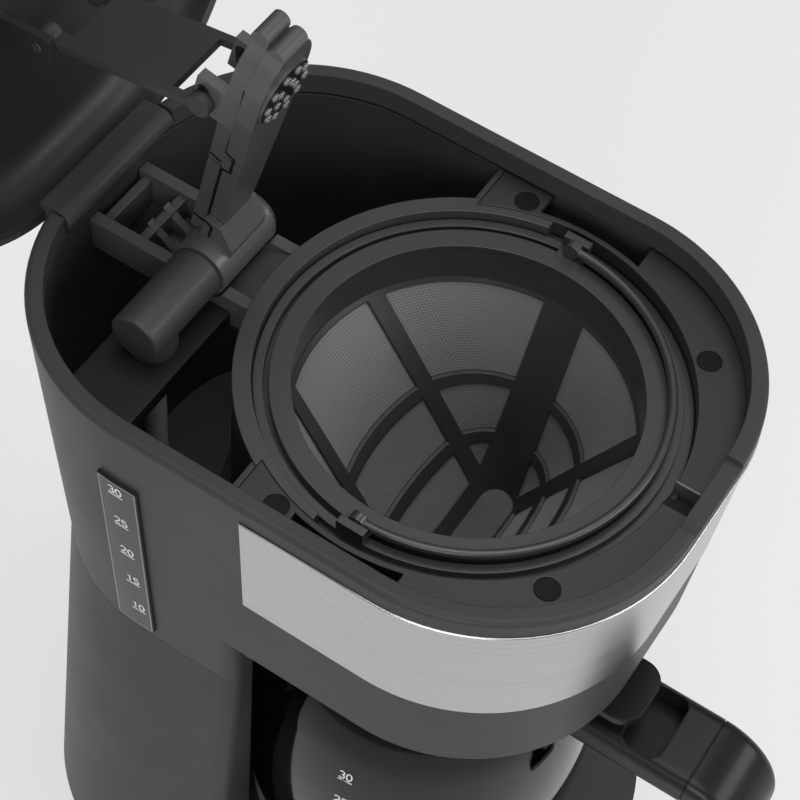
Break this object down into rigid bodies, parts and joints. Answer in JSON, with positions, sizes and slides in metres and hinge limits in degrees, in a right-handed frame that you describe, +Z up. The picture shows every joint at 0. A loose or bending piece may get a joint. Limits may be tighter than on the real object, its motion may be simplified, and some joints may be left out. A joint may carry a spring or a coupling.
{
  "type": "drip coffee maker",
  "caption": "Drip coffee maker with an open hinged lid, linked spray arm, lift-out basket and mesh filter, side water gauge, glass carafe and hot plate.",
  "frame": {"origin": "on the table, under the middle of the part's box with the lid open and the carafe in place", "axes": "+Z up, -Y towards the carafe handle at the front, +Y towards the lid hinge, -X the water gauge side"},
  "size_m": [0.1946, 0.3322, 0.5779],
  "materials": {
    "body_plastic": "moulded plastic with a fine matte grain",
    "inner_plastic": "smooth satin moulding",
    "basket_plastic": "smooth satin moulding",
    "steel_trim": "brushed along the band",
    "gauge_clear": "clear moulded window",
    "mesh_nylon": "fine woven mesh",
    "carafe_clear": "clear borosilicate",
    "carafe_plastic": "satin moulding",
    "handle_inset": "glossy inset",
    "base_plastic": "plain moulding",
    "rubber": "soft black rubber",
    "silicone": "milky silicone",
    "plate_coat": "non-stick coating",
    "heater_metal": "bare extruded metal",
    "fastener_steel": "zinc plated",
    "riser_plastic": "plain moulding",
    "plug_plastic": "plain moulding",
    "button_plastic": "glossy cap",
    "lens_plastic": "clear red lens"
  },
  "bodies": {
    "housing": {"upper_housing": "body_plastic", "lower_housing": "body_plastic", "water_tank": "inner_plastic", "top_deck": "inner_plastic", "basket_holder": "inner_plastic", "bridge_frame": "inner_plastic", "water_duct": "inner_plastic", "swivel_hub": "inner_plastic", "steel_band": "steel_trim", "gauge_window": "gauge_clear", "base_plate": "base_plastic", "cord_gland": "base_plastic", "button_bezel": "base_plastic", "switch_body": "base_plastic", "rubber_feet": "rubber", "hot_plate_seal": "rubber", "inlet_hose": "silicone", "riser_hose": "silicone", "tank_grommets": "silicone", "hub_seal": "silicone", "check_valve": "silicone", "hot_plate": "plate_coat", "heating_element": "heater_metal", "boiler_tube": "heater_metal", "thermostat": "heater_metal", "base_screws": "fastener_steel", "deck_screws": "fastener_steel", "hinge_pins": "fastener_steel", "heater_strap": "fastener_steel", "riser_tube": "riser_plastic", "hub_retainer": "riser_plastic", "screw_plugs": "plug_plastic", "indicator_lens": "lens_plastic"},
    "lid": {"lid_cover": "body_plastic", "lid_liner": "inner_plastic", "link_pins": "fastener_steel"},
    "arm": {"spray_arm": "inner_plastic", "spray_arm_cover": "inner_plastic"},
    "link": {"lift_link": "inner_plastic"},
    "basket": {"brew_basket": "basket_plastic", "valve_cage": "basket_plastic", "valve_spring": "fastener_steel"},
    "plunger": {"valve_plunger": "basket_plastic", "valve_seal": "silicone"},
    "filter": {"filter_frame": "basket_plastic", "filter_mesh": "mesh_nylon"},
    "bail": {"filter_bail": "basket_plastic"},
    "carafe": {"carafe_glass": "carafe_clear", "carafe_collar": "carafe_plastic", "carafe_lid": "carafe_plastic", "carafe_lid_pin": "fastener_steel", "carafe_handle": "carafe_plastic", "handle_cap": "handle_inset", "collar_screw": "fastener_steel"},
    "button": {"power_button": "button_plastic"}
  },
  "joints": [
    {"name": "lid_hinge", "type": "hinge", "parent": "housing", "child": "lid", "pos_m": [0, 0.1269, 0.34], "axis": [-1, 0, 0], "range_deg": [-93, 0]},
    {"name": "arm_swing", "type": "hinge", "parent": "housing", "child": "arm", "pos_m": [0, 0.0786, 0.3355], "axis": [-1, 0, 0], "range_deg": [-77, 0]},
    {"name": "link_swing", "type": "hinge", "parent": "lid", "child": "link", "pos_m": [0, 0.1389, 0.407], "axis": [-1, 0, 0], "range_deg": [0, 90]},
    {"name": "basket_lift", "type": "slide", "parent": "housing", "child": "basket", "axis": [0, 0, 1], "range_m": [0, 0.13]},
    {"name": "filter_lift", "type": "slide", "parent": "basket", "child": "filter", "axis": [0, 0, 1], "range_m": [0, 0.12]},
    {"name": "bail_fold", "type": "hinge", "parent": "filter", "child": "bail", "pos_m": [0, -0.0201, 0.3354], "axis": [-1, 0, 0], "range_deg": [0, 90]},
    {"name": "valve_push", "type": "slide", "parent": "basket", "child": "plunger", "axis": [0, 0, 1], "range_m": [0, 0.002], "stiffness_N_per_m": 150, "springref_m": -0.003, "deforming": ["valve_spring"]},
    {"name": "carafe_slide", "type": "slide", "parent": "housing", "child": "carafe", "axis": [0, -1, 0], "range_m": [0, 0.2]},
    {"name": "button_push", "type": "slide", "parent": "housing", "child": "button", "axis": [0, 1, 0], "range_m": [0, 0.002], "stiffness_N_per_m": 800}
  ],
  "couplings": [
    {"joint": "arm_swing", "follows": "lid_hinge", "ratio": 0.82795},
    {"joint": "link_swing", "follows": "lid_hinge", "ratio": -0.96774}
  ]
}
